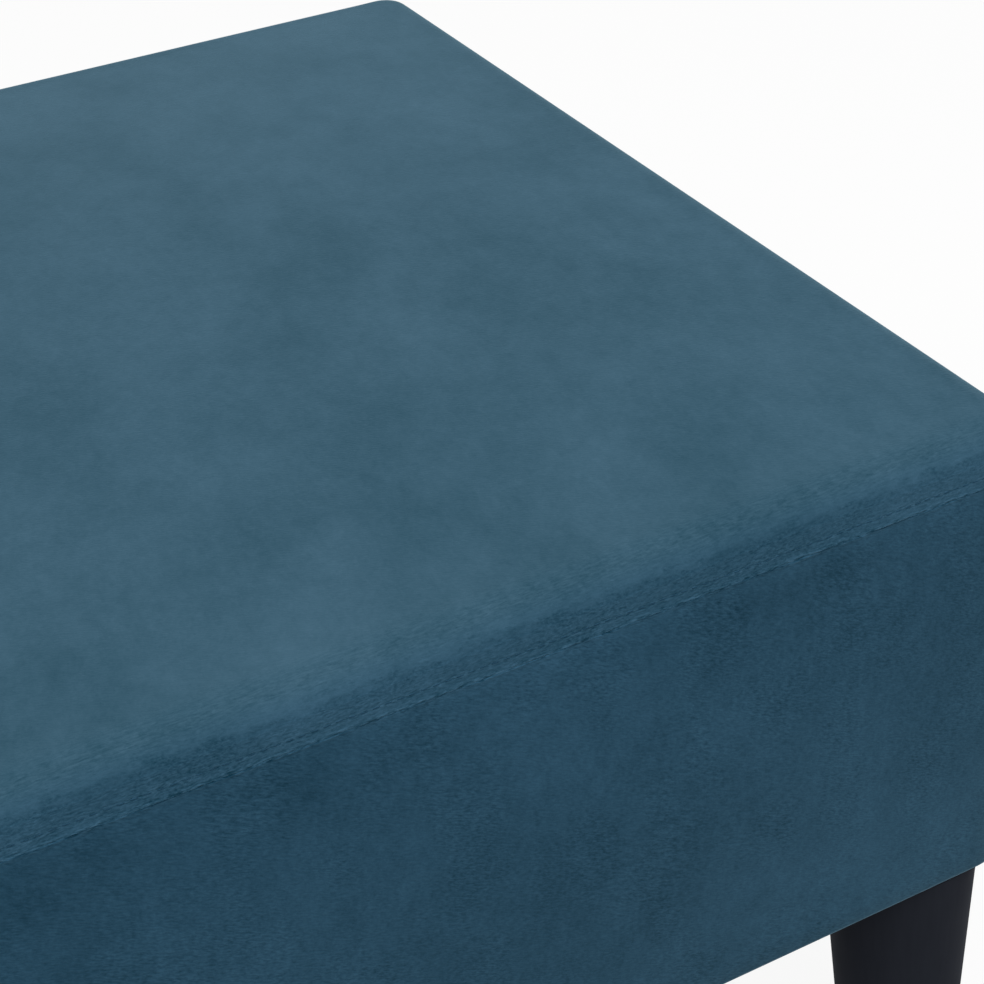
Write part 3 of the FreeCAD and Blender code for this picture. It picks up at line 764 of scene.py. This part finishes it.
def build_topstitch():
    perimeter = 4 * (INNER_X + INNER_Y) + 2 * math.pi * CORNER_RADIUS
    count = round(perimeter / STITCH_PITCH)
    level = EDGE_LEVEL - TOPSTITCH_DROP
    points, faces = [], []
    for stitch in range(count):
        for ring in range(STITCH_RINGS):
            share = ring / (STITCH_RINGS - 1) * 2 - 1
            distance = (stitch + 0.5) * perimeter / count + share * STITCH_LENGTH / 2
            place, outward = outline_point(distance % perimeter)
            centre = Vector((*place, level))
            relief = seam_relief(np.array([centre]), np.array([TOPSTITCH_DROP]))[0]
            rise = -skirt_inset(TOPSTITCH_DROP) - STITCH_DIVE * share**4
            thick = THREAD_RADIUS * math.sqrt(1 - STITCH_TAPER * share**6)
            for side in range(THREAD_SIDES):
                angle = 2 * math.pi * side / THREAD_SIDES
                edge = outward * (relief + rise + thick * math.cos(angle))
                points.append(centre + Vector((edge.x, edge.y, thick * math.sin(angle))))
        base = stitch * STITCH_RINGS * THREAD_SIDES
        faces += [[base + i for i in quad] for quad in grid_faces(STITCH_RINGS, THREAD_SIDES, closed=True)]
        last = base + (STITCH_RINGS - 1) * THREAD_SIDES
        faces += [range(base, base + THREAD_SIDES), range(last, last + THREAD_SIDES)]
    piece = mesh_object("topstitch", points, faces)
    outward_normals(piece.data)
    dress(piece, thread())
    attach(piece, "stool_box")


# Dust cover: a thin sheet stapled under the frame, sagging a little, with holes for the bolts
BOLT_HOLE_RADIUS = 4.6 * MM
HOLE_PATCH = 12 * MM
PATCH_LINES = 5
HOLE_RINGS = (0.45, 0.8, 1.0)
SHEET_GRID = 12 * MM
SHEET_SAG = 2.0 * MM
SHEET_THICKNESS = 0.4 * MM
RIPPLE_HEIGHT = 0.5 * MM
RIPPLE_SIZE = 55 * MM
LEG_CLEARANCE = 1.1
SAG_START = 60 * MM


def sheet_lines(half, hole):
    """Grid lines across the sheet, with closer lines over each hole's patch."""
    patch = np.linspace(hole - HOLE_PATCH, hole + HOLE_PATCH, PATCH_LINES)
    count = round(2 * patch[0] / SHEET_GRID)
    middle = np.linspace(-patch[0], patch[0], count + 1)
    return np.concatenate([[-half], -patch[::-1], middle[1:-1], patch, [half]])


def cut_hole(points, faces, patch):
    """Fills a square patch of grid points with rings that close in on a round hole."""
    last = PATCH_LINES - 1
    loop = [*patch[:last, 0], *patch[last, :last], *patch[:0:-1, last], *patch[0, :0:-1]]
    centre = np.array(points[patch[last // 2, last // 2]])
    rings = [loop]
    for share in HOLE_RINGS:
        ring = []
        for corner in loop:
            away = np.array(points[corner]) - centre
            rim = away / np.linalg.norm(away) * BOLT_HOLE_RADIUS
            ring.append(len(points))
            points.append((centre + away + (rim - away) * share).tolist())
        rings.append(ring)
    for outer, inner in zip(rings, rings[1:]):
        for step in range(len(loop)):
            after = (step + 1) % len(loop)
            faces.append([outer[step], outer[after], inner[after], inner[step]])


def drop_loose_points(mesh):
    """Deletes the points that no face uses."""
    work = bmesh.new()
    work.from_mesh(mesh)
    bmesh.ops.delete(work, geom=[v for v in work.verts if not v.link_faces], context="VERTS")
    work.to_mesh(mesh)
    work.free()


def build_dust_cover():
    low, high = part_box("dust_cover")
    leg_low, leg_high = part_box("leg_front_right")
    leg_radius = (leg_high.x - leg_low.x) / 2
    hole_x, front_y = axis_of("leg_bolt_front_right")
    hole_y = -front_y
    lines_x, lines_y = sheet_lines(high.x, hole_x), sheet_lines(high.y, hole_y)
    grid_x, grid_y = np.meshgrid(lines_x, lines_y, indexing="ij")
    points = np.stack([grid_x.ravel(), grid_y.ravel()], axis=-1).tolist()
    index = np.arange(len(points)).reshape(grid_x.shape)
    faces = []
    for quad in grid_faces(*grid_x.shape):
        middle = np.mean([points[i] for i in quad], axis=0)
        if max(abs(abs(middle[0]) - hole_x), abs(abs(middle[1]) - hole_y)) > HOLE_PATCH:
            faces.append(quad)
    for start_x in (1, len(lines_x) - PATCH_LINES - 1):
        for start_y in (1, len(lines_y) - PATCH_LINES - 1):
            cut_hole(points, faces, index[start_x:start_x + PATCH_LINES, start_y:start_y + PATCH_LINES])
    plan = np.array(points)
    from_leg = np.hypot(np.abs(plan[:, 0]) - hole_x, np.abs(plan[:, 1]) - hole_y)
    clear = np.clip((from_leg - leg_radius * LEG_CLEARANCE) / SAG_START, 0, 1)
    middle = np.prod(1 - (np.abs(plan) / (high.x, high.y)) ** 2, axis=1)
    ripple = RIPPLE_HEIGHT * wavering(np.c_[plan, np.zeros(len(plan))], RIPPLE_SIZE, seed=5.9)
    sag = (SHEET_SAG * middle + (ripple + RIPPLE_HEIGHT) * np.minimum(4 * middle, 1)) * clear
    piece = mesh_object("dust_cover_sheet", np.c_[plan, low.z - sag], faces)
    drop_loose_points(piece.data)
    thick = piece.modifiers.new("thickness", "SOLIDIFY")
    thick.thickness = SHEET_THICKNESS
    thick.offset = 1
    dress(piece, dust_cloth())
    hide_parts("dust_cover")
    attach(piece, "stool_box")


# Legs and their bolts, turned about the leg's axis
LATHE_SIDES = 96
SHARP_ANGLE = math.radians(40)
LEG_FOOT_RADIUS = 23.5 * MM
LEG_EDGE = 0.7 * MM
LEG_FOOT_EDGE = 1.5 * MM
LEG_EDGE_STEPS = 4
LEG_ROWS = 16
LEG_TOP_RING = 4.2 * MM
BOLT_PITCH = 1.25 * MM
BOLT_THREAD_DEPTH = 0.6 * MM
BOLT_THREAD_SLOPE = 1.3
BOLT_THREAD_CREST = 0.15
BOLT_CHAMFER = 1 * MM
BOLT_SIDES = 32
ROWS_PER_TURN = 6


def turned_piece(name, centre, radii, heights):
    """A closed solid of revolution from radii, with one row per height and one column per angle."""
    rows, sides = radii.shape
    angle = np.linspace(0, 2 * math.pi, sides, endpoint=False)
    x = centre[0] + radii * np.cos(angle)
    y = centre[1] + radii * np.sin(angle)
    points = np.stack([x, y, np.broadcast_to(heights, radii.shape)], axis=-1)
    ends = [range(sides), range((rows - 1) * sides, rows * sides)]
    piece = mesh_object(name, points, [*grid_faces(rows, sides, closed=True), *ends])
    outward_normals(piece.data)
    piece.data.set_sharp_from_angle(angle=SHARP_ANGLE)
    return piece


def build_leg(corner, material):
    node = f"leg_{corner}"
    low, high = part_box(node)
    bolt_low, bolt_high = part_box(f"leg_bolt_{corner}")
    top_radius = (high.x - low.x) / 2
    rim = [((bolt_high.x - bolt_low.x) / 2, high.z), (top_radius - LEG_TOP_RING, high.z)]
    for angle in [0, *arc_steps(0, math.pi / 2, LEG_EDGE_STEPS)]:
        radius = top_radius - LEG_EDGE * (1 - math.sin(angle))
        rim.append((radius, high.z - LEG_EDGE * (1 - math.cos(angle))))
    foot_height = low.z + LEG_FOOT_EDGE
    start_radius, start_height = rim[-1]
    for row in range(1, LEG_ROWS + 1):
        radius = start_radius + (LEG_FOOT_RADIUS - start_radius) * row / LEG_ROWS
        rim.append((radius, start_height + (foot_height - start_height) * row / LEG_ROWS))
    for angle in arc_steps(0, math.pi / 2, LEG_EDGE_STEPS):
        radius = LEG_FOOT_RADIUS - LEG_FOOT_EDGE * (1 - math.cos(angle))
        rim.append((radius, foot_height - LEG_FOOT_EDGE * math.sin(angle)))
    outline = np.array(rim)
    radii = np.repeat(outline[:, :1], LATHE_SIDES, axis=1)
    piece = turned_piece(f"turned_leg_{corner}", axis_of(node), radii, outline[:, 1:])
    dress(piece, material)
    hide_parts(node)
    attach(piece, node)


def build_bolt(corner):
    node = f"leg_bolt_{corner}"
    low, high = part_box(node)
    radius = (high.x - low.x) / 2
    rows = round((high.z - low.z) / BOLT_PITCH * ROWS_PER_TURN)
    heights = np.linspace(low.z, high.z, rows)[:, None]
    turn = np.linspace(0, 1, BOLT_SIDES, endpoint=False)[None, :]
    ridge = np.abs(((heights / BOLT_PITCH + turn) % 1) * 2 - 1)
    depth = np.clip(BOLT_THREAD_SLOPE * ridge - BOLT_THREAD_CREST, 0, 1)
    radii = radius - BOLT_THREAD_DEPTH * depth
    from_end = np.minimum(heights - low.z, high.z - heights)
    radii = np.minimum(radii, radius - BOLT_CHAMFER + np.minimum(from_end, BOLT_CHAMFER))
    piece = turned_piece(f"threaded_bolt_{corner}", axis_of(node), radii, heights)
    dress(piece, steel)
    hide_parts(node)
    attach(piece, f"leg_{corner}")


# Finishes of the nodes that stay as they are
def dress_frame():
    pine_x = wood("pine_long", "x", PINE_TONES)
    pine_y = wood("pine_short", "y", PINE_TONES)
    plastic = black_plastic()
    finishes = {
        "frame_rail_front": pine_x,
        "frame_rail_back": pine_x,
        "frame_rail_left": pine_y,
        "frame_rail_right": pine_y,
        "cross_rail": pine_y,
        "deck_board": wood("plywood", "x", PLY_TONES),
        "frame_screws": steel,
        "deck_screws": steel,
        "t_nuts": steel,
        "dust_cover_staples": steel,
    }
    for corner in CORNERS:
        finishes[f"corner_block_{corner}"] = pine_x
        finishes[f"leg_glide_{corner}"] = plastic
    for node, material in finishes.items():
        dress(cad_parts[node], material)


# Studio: a floor that is white from above and clear from below, one large soft lamp and an even sky
FLOOR_REACH = 12.0
FLOOR_LEVEL = -0.2 * MM
FLOOR_WHITE = 0.92
FLOOR_MATTE = 0.28
SKY_LEVEL = 0.38
KEY_POWER = 48.0
KEY_SIZE = 2.4
KEY_PLACE = Vector((0, -0.9, 2.4))


def seen_directly(tree):
    """1 for rays from the camera or off gloss and through glass, 0 for the rays that carry light about."""
    path = tree.nodes.new("ShaderNodeLightPath")
    seen = path.outputs["Is Camera Ray"]
    for name in ("Is Glossy Ray", "Is Transmission Ray"):
        either = tree.nodes.new("ShaderNodeMath")
        either.operation = "MAXIMUM"
        tree.links.new(seen, either.inputs[0])
        tree.links.new(path.outputs[name], either.inputs[1])
        seen = either.outputs[0]
    return seen


def build_floor():
    sides = ((-1, -1), (1, -1), (1, 1), (-1, 1))
    corners = [(x * FLOOR_REACH, y * FLOOR_REACH, FLOOR_LEVEL) for x, y in sides]
    floor = mesh_object("floor", corners, [range(4)])
    material = bpy.data.materials.new("floor_white")
    material.use_nodes = True
    tree = material.node_tree
    tree.nodes.clear()
    matte = tree.nodes.new("ShaderNodeBsdfDiffuse")
    pale = tree.nodes.new("ShaderNodeMapRange")
    pale.inputs["To Min"].default_value = FLOOR_MATTE
    white = tree.nodes.new("ShaderNodeEmission")
    share = tree.nodes.new("ShaderNodeMath")
    share.operation = "MULTIPLY"
    share.inputs[1].default_value = FLOOR_WHITE
    mix = tree.nodes.new("ShaderNodeMixShader")
    side = tree.nodes.new("ShaderNodeNewGeometry")
    clear = tree.nodes.new("ShaderNodeBsdfTransparent")
    one_sided = tree.nodes.new("ShaderNodeMixShader")
    output = tree.nodes.new("ShaderNodeOutputMaterial")
    seen = seen_directly(tree)
    tree.links.new(seen, share.inputs[0])
    tree.links.new(seen, pale.inputs["Value"])
    tree.links.new(pale.outputs["Result"], matte.inputs["Color"])
    tree.links.new(share.outputs[0], mix.inputs[0])
    tree.links.new(matte.outputs[0], mix.inputs[1])
    tree.links.new(white.outputs[0], mix.inputs[2])
    tree.links.new(side.outputs["Backfacing"], one_sided.inputs[0])
    tree.links.new(mix.outputs[0], one_sided.inputs[1])
    tree.links.new(clear.outputs[0], one_sided.inputs[2])
    tree.links.new(one_sided.outputs[0], output.inputs["Surface"])
    dress(floor, material)


def build_light():
    world = bpy.data.worlds.new("studio")
    bpy.context.scene.world = world
    world.use_nodes = True
    tree = world.node_tree
    sky = tree.nodes["Background"]
    sky.inputs["Color"].default_value = (1, 1, 1, 1)
    level = tree.nodes.new("ShaderNodeMapRange")
    level.inputs["To Min"].default_value = SKY_LEVEL
    level.inputs["To Max"].default_value = 1.0
    tree.links.new(seen_directly(tree), level.inputs["Value"])
    tree.links.new(level.outputs["Result"], sky.inputs["Strength"])
    lamp = bpy.data.lights.new("key", "AREA")
    lamp.size = KEY_SIZE
    lamp.energy = KEY_POWER
    key = bpy.data.objects.new("key", lamp)
    key.location = KEY_PLACE
    key.rotation_euler = (Vector((0, 0, EDGE_LEVEL)) - KEY_PLACE).to_track_quat("-Z", "Y").to_euler()
    bpy.context.scene.collection.objects.link(key)


# Camera: in front of the stool and above it, near enough that the stool runs out of the frame
CAMERA_PLACE = Vector((37.4, -680.3, 642.8)) * MM
CAMERA_YAW = math.radians(22.98)
CAMERA_PITCH = math.radians(29.03)
CAMERA_ROLL = math.radians(-5.75)
CAMERA_LENS = 66.89
CAMERA_SENSOR = 36
CAMERA_SHIFT = (-0.03, -0.15)
NEAREST_SEEN = 10 * MM


def build_camera():
    lens = bpy.data.cameras.new("camera")
    lens.sensor_width = CAMERA_SENSOR
    lens.lens = CAMERA_LENS
    lens.shift_x, lens.shift_y = CAMERA_SHIFT
    lens.clip_start = NEAREST_SEEN
    camera = bpy.data.objects.new("camera", lens)
    turn = Matrix.Rotation(-CAMERA_YAW, 4, "Z") @ Matrix.Rotation(math.pi / 2 - CAMERA_PITCH, 4, "X")
    camera.matrix_world = Matrix.Translation(CAMERA_PLACE) @ turn @ Matrix.Rotation(CAMERA_ROLL, 4, "Z")
    bpy.context.scene.collection.objects.link(camera)
    bpy.context.scene.camera = camera


build_seat()
for side in QUARTER_TURNS:
    build_panel(side)
build_topstitch()
build_dust_cover()
black_lacquer = lacquer()
for corner in CORNERS:
    build_leg(corner, black_lacquer)
    build_bolt(corner)
dress_frame()
build_floor()
build_light()
build_camera()
bpy.context.scene.view_settings.view_transform = "Standard"
